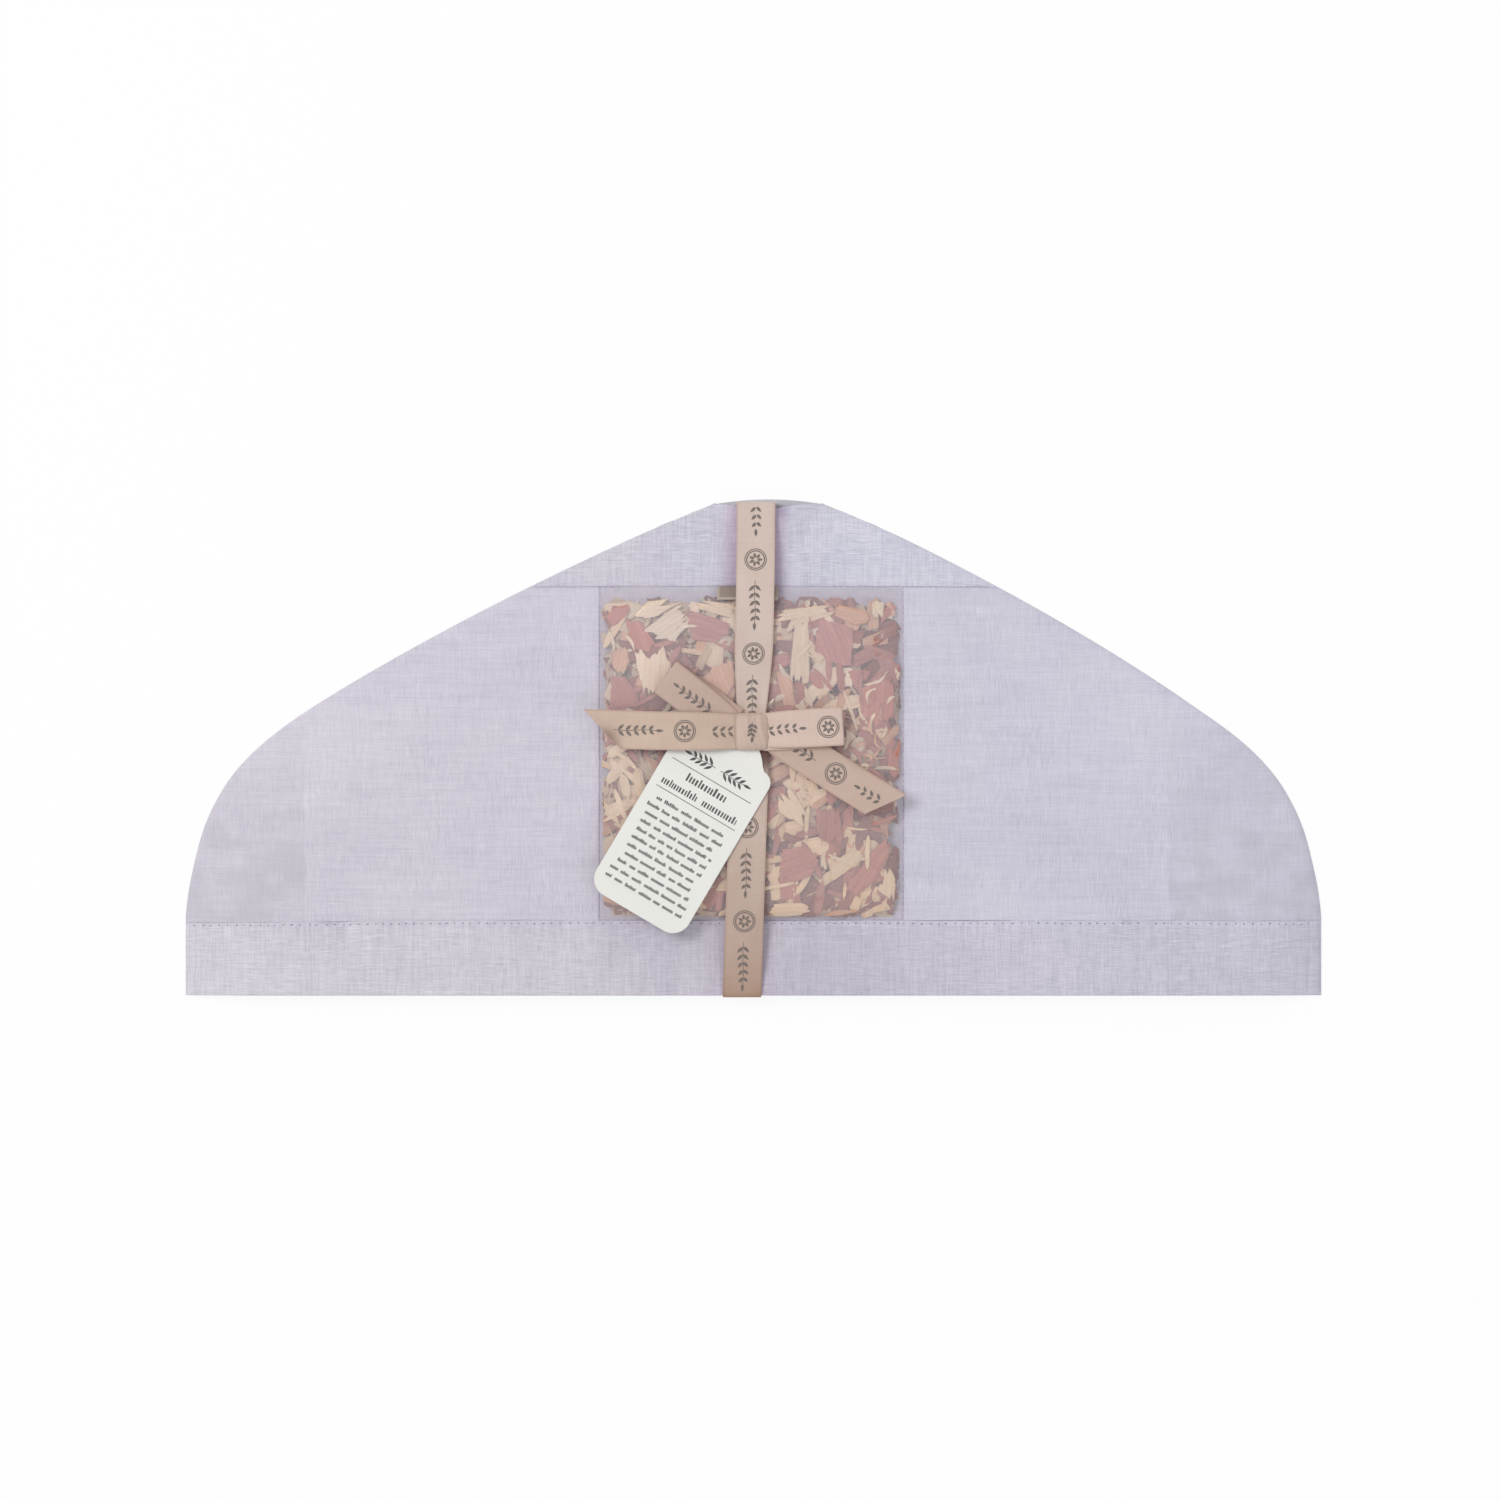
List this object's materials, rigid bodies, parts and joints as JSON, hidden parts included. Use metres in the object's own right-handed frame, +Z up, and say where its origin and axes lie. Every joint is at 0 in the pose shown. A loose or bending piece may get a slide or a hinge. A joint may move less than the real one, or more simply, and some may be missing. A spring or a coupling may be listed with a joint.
{
  "type": "hanger cover sachet",
  "caption": "Shoulder-shaped linen hanger cover with a sheer silk window full of cedar chips, tied with a satin ribbon bow and a card hang tag.",
  "frame": {"origin": "middle of the cover's footprint, on the surface that its back lies on", "axes": "+X towards the right shoulder, +Y from the hem to the hook opening, +Z up out of the front"},
  "size_m": [0.457, 0.2002, 0.0215],
  "materials": {
    "linen": "plain-woven lavender linen, matt, slubs running across",
    "linen_cross_grain": "plain-woven lavender linen, matt, slubs running up and down",
    "inner_linen": "plain-woven lavender linen, matt",
    "sheer_silk": "sheer silk, hazy, soft sheen",
    "red_cedar": "raw red cedar heartwood, split and shaved",
    "pale_cedar": "raw pale cedar sapwood, split and shaved",
    "warm_cedar": "raw orange-tan cedar, split and shaved",
    "label": "woven tape, grey-beige, matt",
    "ribbon_satin": "single-faced satin ribbon, pink-beige, soft sheen",
    "tag_card": "uncoated cream card, printed with plain rules and bars"
  },
  "bodies": {
    "cover": {"back_panel": "linen", "back_hem_band": "linen", "front_yoke": "linen_cross_grain", "front_left_panel": "linen", "front_right_panel": "linen", "front_hem_band": "linen_cross_grain", "left_side_facing": "inner_linen", "right_side_facing": "inner_linen", "window_lining": "inner_linen", "silk_window": "sheer_silk", "cedar_fill": "red_cedar", "cedar_chip_red_1": "red_cedar", "cedar_chip_red_2": "red_cedar", "cedar_chip_red_3": "red_cedar", "cedar_chip_red_4": "red_cedar", "cedar_chip_red_5": "red_cedar", "cedar_chip_red_6": "red_cedar", "cedar_chip_red_7": "red_cedar", "cedar_chip_red_8": "red_cedar", "cedar_chip_red_9": "red_cedar", "cedar_chip_pale_1": "pale_cedar", "cedar_chip_pale_2": "pale_cedar", "cedar_chip_pale_3": "pale_cedar", "cedar_chip_pale_4": "pale_cedar", "cedar_chip_pale_5": "pale_cedar", "cedar_chip_pale_6": "pale_cedar", "cedar_chip_pale_7": "pale_cedar", "cedar_chip_pale_8": "pale_cedar", "cedar_chip_pale_9": "pale_cedar", "cedar_chip_pale_10": "pale_cedar", "cedar_chip_pale_11": "pale_cedar", "cedar_chip_warm_1": "warm_cedar", "cedar_chip_warm_2": "warm_cedar", "cedar_chip_warm_3": "warm_cedar", "cedar_chip_warm_4": "warm_cedar", "seam_label": "label"},
    "tie": {"ribbon_inner_strand": "ribbon_satin", "ribbon_front_upper": "ribbon_satin", "ribbon_front_lower": "ribbon_satin", "ribbon_top_turn": "ribbon_satin", "ribbon_bottom_turn": "ribbon_satin", "ribbon_throat": "ribbon_satin", "bow_knot": "ribbon_satin", "bow_loop_left": "ribbon_satin", "bow_loop_right": "ribbon_satin", "bow_tail_left": "ribbon_satin", "bow_tail_right": "ribbon_satin"},
    "tag": {"hang_tag": "tag_card"}
  },
  "joints": [
    {"name": "tie_slide", "type": "slide", "parent": "cover", "child": "tie", "axis": [1, 0, 0], "range_m": [-0.004, 0.012]},
    {"name": "tag_swing", "type": "hinge", "parent": "tie", "child": "tag", "pos_m": [-0.0068, 0.0039, 0.01655], "axis": [0, 0, 1], "range_deg": [-30, 45]}
  ]
}
